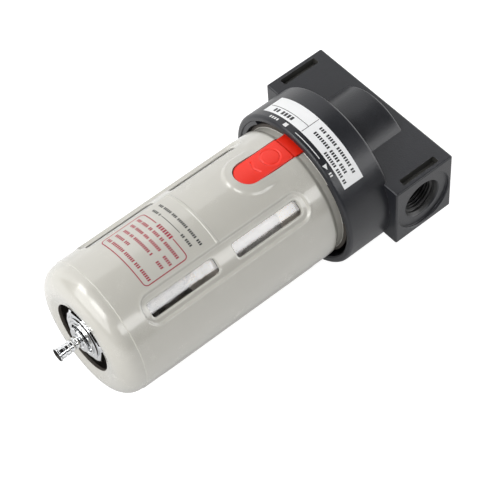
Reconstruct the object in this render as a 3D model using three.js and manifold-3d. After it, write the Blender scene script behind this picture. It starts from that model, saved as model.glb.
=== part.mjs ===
// Compressed air filter: a black port block with a round collar, a clear bowl inside a light
// grey metal guard that hangs on a bayonet, a red lock button and a sprung push drain.
//
// Millimetres, +Z up. The two ports lie on X and the front, with the button, faces -Y.
// Heights below are measured from the port axis; the whole group is lowered at the end so
// that its origin is the centre of the block's flat top.
// Angles are in degrees about Z, 0 at the front (-Y) and positive towards +X.
import * as THREE from 'three';
import { RoundedBoxGeometry } from 'three/addons/geometries/RoundedBoxGeometry.js';
import { mergeVertices } from 'three/addons/utils/BufferGeometryUtils.js';
import Module from 'manifold-3d';

const wasm = await Module();
wasm.setup();

// ---------------------------------------------------------------- driving dimensions

const LARGE_ROUND = 48; // facets round a large circle
const SMALL_ROUND = 28; // facets round a small circle
const GAP = 0.3; // between pieces that rest on each other
const WALL_REACH = { near: 20, far: 40 }; // radii that span the guard's wall, for cuts through it

const BLOCK = { width: 81, depth: 32, height: 30.8, edge: 1 };
const DRUM = { radius: 23, top: 9.7, edge: 0.5 };
const COLLAR = { radius: 36.2, top: -13.2, bottom: -36.5, topEdge: 0.5, rim: 1.4 };
const PORT = { boreRadius: 7.6, mouthRadius: 9.05, chamfer: 1.5, recessRadius: 14, recessDepth: 1.2 };
const SLOT = { x: 36.8, width: 3.4, length: 19, depth: 3.4 };

const SOCKET = { radius: 33, roof: -25, neckRadius: 28.6, neckRoof: -16.5 };
const CHANNEL = { radius: 20.5, roof: -9.2, drillRadius: 4.2, drillX: 16, inletEnd: 12 };
const BOSS = { radius: 11.5, bottom: -27, passageRadius: 7 };
const BAYONET = { angles: [60, 180, 300], headHalf: 17, guardHalf: 15 };
const HEAD_LUG = { inner: 31.4, top: -33.8, bottom: -36 };
const GUARD_LUG = { outer: 32.6, top: -30, bottom: -33.4 };

const LABEL = { from: -36, to: 50.6, top: -22.4, bottom: -32.3, thickness: 0.2, stand: 0.1 };

const GUARD = {
  inner: 28.6,
  top: -27.7,
  flangeRadius: 30.9,
  flangeBottom: -34.2,
  neckRadius: 29.4,
  neckBottom: -37,
  shoulder: -39,
  upperRadius: 30.4,
  lowerRadius: 30.2,
  stepZ: -137.2,
  domeRadius: 29.9,
  domeCentre: 21,
  bottom: -146.5,
  dishRadius: 19.5,
  holeRadius: 15.6,
  holeBottom: -145.7,
  wall: 1.4,
};
const PANEL_ANGLES = [-135, -45, 45, 135];
const PANEL = { halfWidth: 6.5, top: -47, bottom: -128, corner: 5, floor: 29.4 };
const WINDOW = { halfWidth: 3.3, corner: 1.4, spans: [[-50, -83], [-92.3, -125.2]] };
const PAD = { radius: 31.2, halfWidth: 10.5, endZ: -58, top: -40.2 };

const BUTTON = {
  inner: 29.3,
  face: 30.7,
  halfWidth: 6,
  endZ: -58.5,
  stepZ: -39.5,
  upperRadius: 30.1,
  top: -28.5,
};
const CATCH = { radius: 32, halfWidth: 3.5, bottom: -31.5 };
const LEAF = { halfWidth: 2.5, top: -41, bottom: -58, near: 28.05, crown: 28.75, thickness: 0.25 };

const BOWL = {
  neckInner: 24.6,
  neckOuter: 28.2,
  top: -18,
  grooveTop: -20.4,
  grooveBottom: -23,
  grooveRadius: 26.2,
  flangeRadius: 30.6,
  flangeTop: -25.3,
  flangeBottom: -27.4,
  outer: 27.9,
  wall: 2,
  domeZ: -129,
  domeCentre: 13,
  bottom: -139.2,
  floorWall: 2.3,
  holeRadius: 6.6,
};
const BOWL_RING = { radius: 27.35, section: 1.05, z: -21.7 };

const DEFLECTOR = {
  top: -27.3,
  plate: 2,
  hubRadius: 7.2,
  skirtOuter: 21,
  skirtWall: 1.5,
  skirtBottom: -57,
  vanes: 12,
  vaneRadius: 23.9,
  vaneThickness: 1,
  vaneTop: -28.4,
  vaneHeight: 7,
  vaneTilt: 35,
};
const ELEMENT = { top: -31.4, bottom: -88, inner: 11, outer: 17.5 };
const GASKET = { thickness: 1.5, inner: 9, outer: 15 };
const BAFFLE = { radius: 20.5, plate: 1.6, hubRadius: 8.5, hubHeight: 2.4, boreRadius: 2.9 };
const STUD = { radius: 2.5, top: 12.5, bottom: -99, holeRadius: 2.9, holeTop: 13 };
const BAFFLE_NUT = { radius: 7, height: 4.4, sides: 8 };

const DRAIN = {
  bodyTop: -134.3,
  flangeRadius: 9.5,
  flangeBottom: -136.2,
  threadRadius: 6.2,
  bodyBottom: -144.1,
  boreRadius: 3.2,
  springRadius: 5.2,
  shoulder: -138,
};
const DRAIN_WASHER = { inner: 6.6, outer: 12, top: -139.5, bottom: -141.1 };
const DRAIN_NUT = { inner: 6.5, acrossFlats: 22, turned: 14, top: -141.4, plate: -145 };
const DRAIN_NUT_STEP = { radius: 9.5, bottom: -145.8 };
const DRAIN_NUT_RIM = { radius: 7.6, bottom: -146.4 };
const STEM = {
  headRadius: 5.5,
  headTop: -131.8,
  headBottom: -133.2,
  radius: 2.6,
  boreRadius: 1.7,
  boreTop: -137,
  portZ: -138.2,
  portRadius: 0.8,
  grooveTop: -149.8,
  grooves: 3,
  groovePitch: 2.4,
  grooveWidth: 0.5,
  grooveRadius: 2.2,
  bottom: -158,
  flareRadius: 3,
  flareBore: 2.5,
};
const STEM_SEAL = { inner: 2.9, outer: 5.2, top: -133.4, bottom: -134.1 };
const STEM_COLLAR = { inner: 2.8, outer: 5.7, top: -146.5, bottom: -147.6 };
const DRAIN_SPRING = { radius: 4.15, wire: 0.4, turns: 5, top: -138.6, bottom: -146 };

// ---------------------------------------------------------------- geometry helpers

const radians = THREE.MathUtils.degToRad;

// Merges shared corners, drops collapsed triangles and turns the faces outwards.
function closed(geometry) {
  const bare = geometry.clone();
  bare.deleteAttribute('normal');
  bare.deleteAttribute('uv');
  const merged = mergeVertices(bare, 1e-4);
  const position = merged.getAttribute('position');
  const index = merged.getIndex();
  const corners = [0, 1, 2].map(() => new THREE.Vector3());
  const kept = [];
  let volume = 0;
  for (let i = 0; i < index.count; i += 3) {
    const face = [index.getX(i), index.getX(i + 1), index.getX(i + 2)];
    if (new Set(face).size < 3) continue;
    face.forEach((v, k) => corners[k].fromBufferAttribute(position, v));
    volume += corners[0].dot(corners[1].clone().cross(corners[2]));
    kept.push(...face);
  }
  if (volume < 0) kept.reverse();
  merged.setIndex(kept);
  return merged;
}

function toSolid(geometry) {
  const mesh = closed(geometry);
  const vertProperties = new Float32Array(mesh.getAttribute('position').array);
  const triVerts = new Uint32Array(mesh.getIndex().array);
  return new wasm.Manifold(new wasm.Mesh({ numProp: 3, vertProperties, triVerts }));
}

function toGeometry(solid) {
  const mesh = solid.getMesh();
  const geometry = new THREE.BufferGeometry();
  geometry.setAttribute('position', new THREE.BufferAttribute(mesh.vertProperties, 3));
  geometry.setIndex(new THREE.BufferAttribute(mesh.triVerts, 1));
  geometry.computeVertexNormals();
  return geometry;
}

// A solid of revolution about Z from [radius, height] points that form a closed loop, or
// that start and end on the axis.
function revolve(profile, facets = LARGE_ROUND) {
  const touchesAxis = profile[0][0] === 0;
  const loop = touchesAxis ? profile : [...profile, profile[0]];
  const points = loop.map(([r, z]) => new THREE.Vector2(r, z));
  return toSolid(new THREE.LatheGeometry(points, facets).rotateX(Math.PI / 2));
}

function tube(inner, outer, top, bottom, facets = LARGE_ROUND) {
  return revolve([[inner, top], [outer, top], [outer, bottom], [inner, bottom]], facets);
}

function ring({ inner, outer, top, bottom }, facets) {
  return tube(inner, outer, top, bottom, facets);
}

function rod(radius, top, bottom, facets = SMALL_ROUND) {
  return revolve([[0, top], [radius, top], [radius, bottom], [0, bottom]], facets);
}

// Points on an ellipse about [r, z], from one angle to another; 0 points outwards, 90 up.
function arc(centre, radii, from, to, steps) {
  return Array.from({ length: steps + 1 }, (_, i) => {
    const angle = radians(from + ((to - from) * i) / steps);
    return [centre[0] + radii[0] * Math.cos(angle), centre[1] + radii[1] * Math.sin(angle)];
  });
}

// A shape drawn in X and Z, extruded radially outwards through the guard's wall at an angle.
function radialPrism(shape, angle) {
  const { near, far } = WALL_REACH;
  const geometry = new THREE.ExtrudeGeometry(shape, {
    depth: far - near,
    bevelEnabled: false,
    curveSegments: 4,
  });
  geometry.rotateX(Math.PI / 2);
  geometry.translate(0, -near, 0);
  geometry.rotateZ(radians(angle));
  return toSolid(geometry);
}

function roundedRectangle(halfWidth, top, bottom, corner) {
  const shape = new THREE.Shape();
  shape.moveTo(halfWidth, bottom + corner);
  shape.lineTo(halfWidth, top - corner);
  shape.absarc(halfWidth - corner, top - corner, corner, 0, Math.PI / 2);
  shape.absarc(corner - halfWidth, top - corner, corner, Math.PI / 2, Math.PI);
  shape.absarc(corner - halfWidth, bottom + corner, corner, Math.PI, 1.5 * Math.PI);
  shape.absarc(halfWidth - corner, bottom + corner, corner, 1.5 * Math.PI, 2 * Math.PI);
  return shape;
}

// A strip with a square top and a half-round lower end centred at endZ.
function tongue(halfWidth, top, endZ) {
  const shape = new THREE.Shape();
  shape.moveTo(halfWidth, top);
  shape.lineTo(-halfWidth, top);
  shape.lineTo(-halfWidth, endZ);
  shape.absarc(0, endZ, halfWidth, Math.PI, 2 * Math.PI);
  return shape;
}

// A pie slice about Z, wider than any piece here, used to cut sectors out of rings.
function wedge(centre, half, top, bottom) {
  const reach = 60;
  const shape = new THREE.Shape();
  shape.moveTo(0, 0);
  for (const share of [-1, -0.5, 0, 0.5, 1]) {
    const angle = radians(centre + share * half);
    shape.lineTo(reach * Math.sin(angle), -reach * Math.cos(angle));
  }
  const geometry = new THREE.ExtrudeGeometry(shape, { depth: top - bottom, bevelEnabled: false });
  return toSolid(geometry.translate(0, 0, bottom));
}

function sector(inner, outer, top, bottom, centre, half) {
  return tube(inner, outer, top, bottom).intersect(wedge(centre, half, top + 1, bottom - 1));
}

function box(width, depth, height, x, y, z) {
  return toSolid(new THREE.BoxGeometry(width, depth, height).translate(x, y, z));
}

// ---------------------------------------------------------------- head

function drumAndCollar() {
  const { radius, top, bottom, topEdge, rim } = COLLAR;
  return revolve([
    [0, DRUM.top],
    [DRUM.radius - DRUM.edge, DRUM.top],
    [DRUM.radius, DRUM.top - DRUM.edge],
    [DRUM.radius, top],
    [radius - topEdge, top],
    [radius, top - topEdge],
    ...arc([radius - rim, bottom + rim], [rim, rim], 0, -90, 4),
    [0, bottom],
  ]);
}

// The round socket that takes the bowl and its guard, with the outlet boss left standing.
function socket() {
  return revolve([
    [0, COLLAR.bottom - 1],
    [SOCKET.radius, COLLAR.bottom - 1],
    [SOCKET.radius, SOCKET.roof],
    [SOCKET.neckRadius, SOCKET.roof],
    [SOCKET.neckRadius, SOCKET.neckRoof],
    [CHANNEL.radius, SOCKET.neckRoof],
    [CHANNEL.radius, CHANNEL.roof],
    [BOSS.radius, CHANNEL.roof],
    [BOSS.radius, BOSS.bottom],
    [0, BOSS.bottom],
  ]);
}

// A port bore along X with its recess and chamfered mouth, reaching in to `end`.
function port(side, end) {
  const face = BLOCK.width / 2;
  const floor = face - PORT.recessDepth;
  const geometry = toGeometry(
    revolve(
      [
        [0, face + 1],
        [PORT.recessRadius, face + 1],
        [PORT.recessRadius, floor],
        [PORT.mouthRadius, floor],
        [PORT.boreRadius, floor - PORT.chamfer],
        [PORT.boreRadius, end],
        [0, end],
      ],
      40,
    ),
  );
  return toSolid(geometry.rotateY((side * Math.PI) / 2));
}

function bracketSlots() {
  let slots = null;
  for (const sideX of [-1, 1]) {
    for (const sideY of [-1, 1]) {
      const y = sideY * (BLOCK.depth / 2 - SLOT.depth / 2 + 0.5);
      const slot = box(SLOT.width, SLOT.depth + 1, SLOT.length, sideX * SLOT.x, y, 0);
      slots = slots ? slots.add(slot) : slot;
    }
  }
  return slots;
}

function headBody() {
  const blockShape = new RoundedBoxGeometry(BLOCK.width, BLOCK.depth, BLOCK.height, 2, BLOCK.edge);
  const inletDrop = toSolid(
    toGeometry(rod(CHANNEL.drillRadius, 0, CHANNEL.roof - 1)).translate(-CHANNEL.drillX, 0, 0),
  );
  let body = toSolid(blockShape)
    .add(drumAndCollar())
    .subtract(socket())
    .subtract(port(1, 0))
    .subtract(port(-1, CHANNEL.inletEnd))
    .subtract(inletDrop)
    .subtract(rod(BOSS.passageRadius, 1, BOSS.bottom - 1))
    .subtract(rod(STUD.holeRadius, STUD.holeTop, -1))
    .subtract(bracketSlots());
  for (const angle of BAYONET.angles) {
    const { inner, top, bottom } = HEAD_LUG;
    body = body.add(sector(inner, SOCKET.radius + 0.5, top, bottom, angle, BAYONET.headHalf));
  }
  return body;
}

function ringLabel() {
  const inner = COLLAR.radius + LABEL.stand;
  const centre = (LABEL.from + LABEL.to) / 2;
  const half = (LABEL.to - LABEL.from) / 2;
  return sector(inner, inner + LABEL.thickness, LABEL.top, LABEL.bottom, centre, half);
}

// ---------------------------------------------------------------- element stack

function deflector() {
  const d = DEFLECTOR;
  const shell = revolve([
    [d.hubRadius, d.top],
    [d.skirtOuter, d.top],
    [d.skirtOuter, d.skirtBottom],
    [d.skirtOuter - d.skirtWall, d.skirtBottom],
    [d.skirtOuter - d.skirtWall, d.top - d.plate],
    [d.hubRadius, d.top - d.plate],
  ]);
  const inner = d.skirtOuter - 0.5;
  let vanes = null;
  for (let i = 0; i < d.vanes; i += 1) {
    const blade = new THREE.BoxGeometry(d.vaneThickness, 2 * d.vaneRadius, d.vaneHeight);
    blade.rotateY(radians(d.vaneTilt));
    blade.translate(0, -d.vaneRadius, d.vaneTop - d.vaneHeight / 2);
    blade.rotateZ(radians((360 * i) / d.vanes));
    const solid = toSolid(blade);
    vanes = vanes ? vanes.add(solid) : solid;
  }
  const vaneRoom = tube(inner, d.vaneRadius, d.vaneTop, d.vaneTop - d.vaneHeight);
  return shell.add(vanes.intersect(vaneRoom));
}

const topGasketTop = DEFLECTOR.top - DEFLECTOR.plate - GAP;
const bottomGasketTop = ELEMENT.bottom - GAP;
const baffleTop = bottomGasketTop - GASKET.thickness - GAP;
const baffleHubBottom = baffleTop - BAFFLE.plate - BAFFLE.hubHeight;

function gasket(top) {
  return tube(GASKET.inner, GASKET.outer, top, top - GASKET.thickness, SMALL_ROUND);
}

function baffle() {
  const plateBottom = baffleTop - BAFFLE.plate;
  return revolve(
    [
      [BAFFLE.boreRadius, baffleTop],
      [BAFFLE.radius, baffleTop],
      [BAFFLE.radius, plateBottom],
      [BAFFLE.hubRadius, plateBottom],
      [BAFFLE.hubRadius - 1, baffleHubBottom],
      [BAFFLE.boreRadius, baffleHubBottom],
    ],
    36,
  );
}

function baffleNut() {
  const top = baffleHubBottom - GAP;
  const outside = rod(BAFFLE_NUT.radius, top, top - BAFFLE_NUT.height, BAFFLE_NUT.sides);
  return outside.subtract(rod(BAFFLE.boreRadius, top + 1, top - BAFFLE_NUT.height - 1));
}

// ---------------------------------------------------------------- bowl, guard and button

function bowl() {
  const b = BOWL;
  const inner = b.outer - b.wall;
  const floor = b.bottom + b.floorWall;
  const dome = [b.domeCentre, b.domeZ];
  const outerReach = [b.outer - b.domeCentre, b.domeZ - b.bottom];
  const innerReach = [inner - b.domeCentre, b.domeZ - floor];
  return revolve([
    [b.neckInner, b.top],
    [b.neckOuter, b.top],
    [b.neckOuter, b.grooveTop],
    [b.grooveRadius, b.grooveTop],
    [b.grooveRadius, b.grooveBottom],
    [b.neckOuter, b.grooveBottom],
    [b.neckOuter, b.flangeTop],
    [b.flangeRadius, b.flangeTop],
    [b.flangeRadius, b.flangeBottom],
    [b.outer, b.flangeBottom],
    ...arc(dome, outerReach, 0, -90, 4),
    [b.holeRadius, b.bottom],
    [b.holeRadius, floor],
    ...arc(dome, innerReach, -90, 0, 4),
    [inner, b.flangeBottom - 3],
    [b.neckInner, b.flangeBottom],
  ]);
}

function bowlRing() {
  const { radius, section, z } = BOWL_RING;
  return toSolid(new THREE.TorusGeometry(radius, section, 6, LARGE_ROUND).translate(0, 0, z));
}

function guardShell() {
  const g = GUARD;
  const dome = [g.domeCentre, g.stepZ];
  const outerReach = [g.domeRadius - g.domeCentre, g.stepZ - g.bottom];
  const innerReach = [g.inner - g.domeCentre, outerReach[1] - g.wall];
  return revolve([
    [g.inner, g.top],
    [g.flangeRadius, g.top],
    [g.flangeRadius, g.flangeBottom],
    [g.neckRadius, g.flangeBottom - 0.6],
    [g.neckRadius, g.neckBottom],
    [g.upperRadius, g.shoulder],
    [g.lowerRadius, g.stepZ + 0.3],
    ...arc(dome, outerReach, 0, -90, 5),
    [g.dishRadius, g.bottom],
    [g.holeRadius, g.holeBottom],
    [g.holeRadius, g.holeBottom + g.wall],
    [g.dishRadius, g.bottom + g.wall],
    ...arc(dome, innerReach, -90, 0, 5),
  ]);
}

function guardPad() {
  const band = tube(GUARD.inner + 0.4, PAD.radius, PAD.top, PAD.endZ - PAD.halfWidth - 1);
  return band.intersect(radialPrism(tongue(PAD.halfWidth, PAD.top + 1, PAD.endZ), 0));
}

function sightPanel(angle) {
  const recess = roundedRectangle(PANEL.halfWidth, PANEL.top, PANEL.bottom, PANEL.corner);
  let cut = radialPrism(recess, angle).subtract(rod(PANEL.floor, 0, -150, LARGE_ROUND));
  for (const [top, bottom] of WINDOW.spans) {
    const opening = roundedRectangle(WINDOW.halfWidth, top, bottom, WINDOW.corner);
    cut = cut.add(radialPrism(opening, angle));
  }
  return cut;
}

function bowlGuard() {
  const g = GUARD;
  const opening = tongue(BUTTON.halfWidth + GAP, g.top + 5, BUTTON.endZ);
  let guard = guardShell().add(guardPad()).subtract(radialPrism(opening, 0));
  for (const angle of PANEL_ANGLES) guard = guard.subtract(sightPanel(angle));
  for (const angle of BAYONET.angles) {
    const { outer, top, bottom } = GUARD_LUG;
    guard = guard.add(sector(g.flangeRadius - 0.5, outer, top, bottom, angle, BAYONET.guardHalf));
  }
  return guard;
}

function lockButton() {
  const b = BUTTON;
  const end = b.endZ - b.halfWidth - 1;
  const body = revolve([
    [b.inner, b.top],
    [b.upperRadius, b.top],
    [b.upperRadius, b.stepZ],
    [b.face, b.stepZ - 0.4],
    [b.face, end],
    [b.inner, end],
  ]).intersect(radialPrism(tongue(b.halfWidth, b.top + 1, b.endZ), 0));
  const hook = roundedRectangle(CATCH.halfWidth, b.top, CATCH.bottom, 0.2);
  const hookBand = tube(b.inner + 0.2, CATCH.radius, b.top, CATCH.bottom);
  return body.add(hookBand.intersect(radialPrism(hook, 0)));
}

// A bowed leaf between the bowl and the button: its ends near the bowl, its crown outwards.
function lockSpring() {
  const { halfWidth, top, bottom, near, crown, thickness } = LEAF;
  const middle = (top + bottom) / 2;
  const reach = 2 * (crown - near);
  const strip = new THREE.Shape();
  strip.moveTo(near, top);
  strip.quadraticCurveTo(near + reach, middle, near, bottom);
  strip.lineTo(near + thickness, bottom);
  strip.quadraticCurveTo(near + thickness + reach, middle, near + thickness, top);
  const geometry = new THREE.ExtrudeGeometry(strip, {
    depth: 2 * halfWidth,
    bevelEnabled: false,
    curveSegments: 10,
  });
  geometry.translate(0, 0, -halfWidth);
  geometry.rotateX(Math.PI / 2);
  geometry.rotateZ(-Math.PI / 2);
  return toSolid(geometry);
}

// ---------------------------------------------------------------- drain

function drainBody() {
  const d = DRAIN;
  return revolve(
    [
      [d.boreRadius, d.bodyTop],
      [d.flangeRadius, d.bodyTop],
      [d.flangeRadius, d.flangeBottom],
      [d.threadRadius, d.flangeBottom],
      [d.threadRadius, d.bodyBottom],
      [d.springRadius, d.bodyBottom],
      [d.springRadius, d.shoulder],
      [d.boreRadius, d.shoulder],
    ],
    SMALL_ROUND,
  );
}

// Fills the space between the body's flange and the bowl's floor.
function drainGasket() {
  const slack = 0.1;
  const bottom = BOWL.bottom + BOWL.floorWall + slack;
  return tube(BOWL.holeRadius, DRAIN.flangeRadius, DRAIN.flangeBottom - slack, bottom, SMALL_ROUND);
}

function drainNut() {
  const n = DRAIN_NUT;
  const step = DRAIN_NUT_STEP;
  const rim = DRAIN_NUT_RIM;
  const cornerRadius = n.acrossFlats / Math.sqrt(3);
  const hexagon = toGeometry(rod(cornerRadius, n.top, n.plate, 6)).rotateZ(radians(n.turned));
  const corners = revolve(
    [
      [0, n.top],
      [cornerRadius - 0.2, n.top],
      [cornerRadius, n.top - 0.5],
      [cornerRadius, n.plate + 0.7],
      [cornerRadius - 1.2, n.plate],
      [0, n.plate],
    ],
    SMALL_ROUND,
  );
  const steps = revolve(
    [
      [0, n.top - 1],
      [step.radius, n.top - 1],
      [step.radius, step.bottom],
      [rim.radius, step.bottom],
      [rim.radius, rim.bottom],
      [0, rim.bottom],
    ],
    SMALL_ROUND,
  );
  const bore = rod(n.inner, n.top + 1, rim.bottom - 1);
  return toSolid(hexagon).intersect(corners).add(steps).subtract(bore);
}

// The hollow stem: a valve head on top, a cross port under it and a grooved, flared tail.
function drainStem() {
  const s = STEM;
  const grooves = [];
  for (let i = 0; i < s.grooves; i += 1) {
    const top = s.grooveTop - i * s.groovePitch;
    const bottom = top - s.grooveWidth;
    grooves.push([s.radius, top + 0.1], [s.grooveRadius, top]);
    grooves.push([s.grooveRadius, bottom], [s.radius, bottom - 0.1]);
  }
  const outside = [
    [s.headRadius, s.headTop],
    [s.headRadius, s.headBottom],
    [s.radius, s.headBottom],
    ...grooves,
    [s.radius, s.bottom + 1],
    [s.flareRadius, s.bottom + 0.5],
    [s.flareRadius, s.bottom],
  ];
  const bore = [
    [s.flareBore, s.bottom],
    [s.boreRadius, s.bottom + 1.4],
    [s.boreRadius, s.boreTop],
    [0, s.boreTop],
  ];
  const stem = revolve([[0, s.headTop], ...outside, ...bore], 20);
  const crossPort = toGeometry(rod(s.portRadius, s.headRadius, -s.headRadius, 8)).rotateX(Math.PI / 2);
  return stem.subtract(toSolid(crossPort.translate(0, 0, s.portZ)));
}

class Helix extends THREE.Curve {
  constructor(radius, turns, top, bottom) {
    super();
    Object.assign(this, { radius, turns, top, bottom });
  }

  getPoint(t, target = new THREE.Vector3()) {
    const angle = 2 * Math.PI * this.turns * t;
    const z = this.bottom + (this.top - this.bottom) * t;
    return target.set(this.radius * Math.cos(angle), this.radius * Math.sin(angle), z);
  }
}

function drainSpring() {
  const { radius, wire, turns, top, bottom } = DRAIN_SPRING;
  const section = new THREE.Shape();
  section.absarc(0, 0, wire, 0, 2 * Math.PI);
  return toSolid(
    new THREE.ExtrudeGeometry(section, {
      steps: turns * 12,
      curveSegments: 5,
      extrudePath: new Helix(radius, turns, top, bottom),
    }),
  );
}

// ---------------------------------------------------------------- finishes and assembly

function finish(color, roughness, metalness, opacity = 1) {
  const transparent = opacity < 1;
  return new THREE.MeshStandardMaterial({ color, roughness, metalness, opacity, transparent });
}

const blackPaint = finish(0x37383c, 0.45, 0.2);
const guardPaint = finish(0xcdcbc3, 0.35, 0.1);
const redPlastic = finish(0xfa4637, 0.35, 0);
const whiteSticker = finish(0xf2f2f0, 0.5, 0);
const clearPlastic = finish(0xdfe3e6, 0.08, 0, 0.35);
const blackRubber = finish(0x17181a, 0.8, 0);
const palePlastic = finish(0xc9c2b4, 0.5, 0);
const porousPlastic = finish(0xeeebe2, 0.95, 0);
const chrome = finish(0xd9dbdd, 0.12, 1);
const steel = finish(0x9a9c9f, 0.3, 1);
const brass = finish(0xb9994e, 0.3, 1);

const filter = new THREE.Group();

function place(name, solid, material) {
  const mesh = new THREE.Mesh(toGeometry(solid), material);
  mesh.name = name;
  filter.add(mesh);
}

place('head_body', headBody(), blackPaint);
place('ring_label', ringLabel(), whiteSticker);
place('deflector', deflector(), palePlastic);
place('element_top_gasket', gasket(topGasketTop), blackRubber);
place('filter_element', ring(ELEMENT, 36), porousPlastic);
place('element_bottom_gasket', gasket(bottomGasketTop), blackRubber);
place('baffle', baffle(), palePlastic);
place('centre_stud', rod(STUD.radius, STUD.top, STUD.bottom, 20), steel);
place('baffle_nut', baffleNut(), brass);

place('bowl', bowl(), clearPlastic);
place('bowl_o_ring', bowlRing(), blackRubber);
place('bowl_guard', bowlGuard(), guardPaint);
place('lock_button', lockButton(), redPlastic);
place('lock_spring', lockSpring(), steel);

place('drain_body', drainBody(), chrome);
place('drain_gasket', drainGasket(), blackRubber);
place('drain_washer', ring(DRAIN_WASHER, SMALL_ROUND), chrome);
place('drain_nut', drainNut(), chrome);
place('drain_stem', drainStem(), chrome);
place('drain_collar', ring(STEM_COLLAR, SMALL_ROUND), chrome);
place('drain_seal', ring(STEM_SEAL, SMALL_ROUND), blackRubber);
place('drain_spring', drainSpring(), steel);

filter.position.z = -BLOCK.height / 2;

export default filter;
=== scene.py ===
"""Looks for the compressed air filter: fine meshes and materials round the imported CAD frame.

Shapes are written in millimetres with heights from the port axis, as the CAD source does, and
turned into metres in the row frame when a mesh is made. Angles about Z are in degrees, 0 at
the front (-Y) and positive towards +X.
"""
import math

import bmesh
import bpy
import numpy as np
from mathutils import Matrix, Vector


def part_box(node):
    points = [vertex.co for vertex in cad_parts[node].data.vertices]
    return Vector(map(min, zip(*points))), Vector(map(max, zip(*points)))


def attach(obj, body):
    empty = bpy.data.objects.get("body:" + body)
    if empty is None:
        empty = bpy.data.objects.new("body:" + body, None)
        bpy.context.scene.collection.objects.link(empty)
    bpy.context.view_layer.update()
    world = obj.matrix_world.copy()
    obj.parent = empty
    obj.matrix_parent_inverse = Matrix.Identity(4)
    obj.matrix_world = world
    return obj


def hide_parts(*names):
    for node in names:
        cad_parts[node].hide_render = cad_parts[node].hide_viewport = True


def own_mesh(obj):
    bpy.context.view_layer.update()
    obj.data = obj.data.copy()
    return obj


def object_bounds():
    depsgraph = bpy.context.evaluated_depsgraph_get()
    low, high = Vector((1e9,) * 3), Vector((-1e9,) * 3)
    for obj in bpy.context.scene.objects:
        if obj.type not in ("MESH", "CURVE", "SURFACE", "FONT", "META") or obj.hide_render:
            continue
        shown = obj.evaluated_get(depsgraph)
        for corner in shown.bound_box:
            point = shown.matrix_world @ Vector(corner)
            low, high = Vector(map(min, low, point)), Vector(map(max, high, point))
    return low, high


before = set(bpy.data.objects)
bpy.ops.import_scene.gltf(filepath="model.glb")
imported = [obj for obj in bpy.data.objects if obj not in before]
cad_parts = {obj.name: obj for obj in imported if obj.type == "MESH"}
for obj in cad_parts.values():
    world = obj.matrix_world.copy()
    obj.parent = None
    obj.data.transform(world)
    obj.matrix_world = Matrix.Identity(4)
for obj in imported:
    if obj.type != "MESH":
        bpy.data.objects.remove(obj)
cad_low, cad_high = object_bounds()

# -------------------- sizes from the frame

MM = 0.001


def box_mm(node):
    low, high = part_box(node)
    return low / MM, high / MM


HEAD_HIGH = box_mm("head_body")[1]
BLOCK_HALF = Vector((HEAD_HIGH.x, 16.0, 15.4))
PORT_AXIS = HEAD_HIGH.z - BLOCK_HALF.z


def heights(node):
    """(lowest, highest) height of a CAD node above the port axis."""
    low, high = box_mm(node)
    return low.z - PORT_AXIS, high.z - PORT_AXIS


COLLAR_R = HEAD_HIGH.y
COLLAR_BOTTOM = heights("head_body")[0]
COLLAR_TOP = -13.2
DRUM_R, DRUM_TOP = 23.0, 9.7
SOCKET_R, SOCKET_TOP = 33.0, -25.0
CHAMBER_R, CHAMBER_TOP = 28.6, -16.5
THROAT_R, THROAT_TOP = 20.5, -9.2
BOSS_R, BOSS_BOTTOM = 11.5, -27.0
PASSAGE_R, PASSAGE_TOP = 7.0, -3.0
RECESS_R, RECESS_DEPTH, MOUTH_R = 14.0, 1.2, 9.05
THREAD = {"pitch": 1.337, "core": 7.5, "depth": 0.85, "start": 1.8, "end": 14.0}
SLOT = {"x": 36.8, "half": 1.7, "reach": 9.5, "corner": 0.7, "depth": 3.4}
HEAD_LUG = {"inner": 31.4, "outer": SOCKET_R + 0.5, "top": -33.8, "bottom": -36.0, "half": 17}
GUARD_LUG = {"inner": 30.4, "outer": 32.6, "top": -30.0, "bottom": -33.4, "half": 15}

GUARD_BOTTOM, GUARD_TOP = heights("bowl_guard")
GUARD_INNER, GUARD_WALL = 28.6, 1.4
GUARD_NECK, GUARD_UPPER, GUARD_LOWER = 29.4, 30.4, 30.2
FLANGE_R, FLANGE_BOTTOM, SHOULDER_TOP, SHOULDER = 30.9, -34.2, -37.6, -39.8
STEP_Z, STEP_R = -137.2, 29.85
DOME_CENTRE = 21.0
DISH_RADIUS = 19.5
HOLE_RADIUS, HOLE_BOTTOM = 15.6, -145.7
PANELS = (-135, -45, 45, 135)
PANEL = {"half": 6.5, "top": -47.0, "bottom": -128.0, "corner": 5.0}
PANEL_DIP, PANEL_BEAD, WINDOW_DIP = 0.95, 0.16, 0.45
WINDOWS = ((-50.0, -83.0), (-92.3, -125.2))
WINDOW_HALF, WINDOW_CORNER = 3.3, 1.4
PAD = {"half": 10.5, "end": -58.0, "top": -48.0, "slope": 12.0, "rise": 0.8}
LINE_Z, LINE_RISE, LINE_REACH = -87.4, 0.28, 33
CUT_FROM, CUT_TO = 20, 40

BUTTON_LOW, BUTTON_TOP = heights("lock_button")
BUTTON_HALF = box_mm("lock_button")[1].x
BUTTON_END = BUTTON_LOW + BUTTON_HALF
BUTTON_STEP = -39.5
BUTTON_FACE, BUTTON_UPPER, BUTTON_INNER = 30.7, 30.1, 29.3
HOOK_HALF, HOOK_BOTTOM, HOOK_INNER, HOOK_OUTER = 3.5, -31.5, 29.6, 31.95
RING_MARK_Z, RING_MARK_R, CHEVRON_Z = -46.9, 4, -55.8

COLUMNS = 192
WELD, WELD_AFTER_CUT = 0.002 * MM, 0.004 * MM

# -------------------- mesh helpers


def place(x, y, z):
    """Millimetres from the port axis to metres in the row frame."""
    return np.stack([x, y, z + PORT_AXIS], axis=-1) * MM


def around(radius, angle, z):
    """A point at a radius and an angle in degrees from the front."""
    turn = np.radians(angle)
    return place(radius * np.sin(turn), -radius * np.cos(turn), z + 0 * turn)


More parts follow.
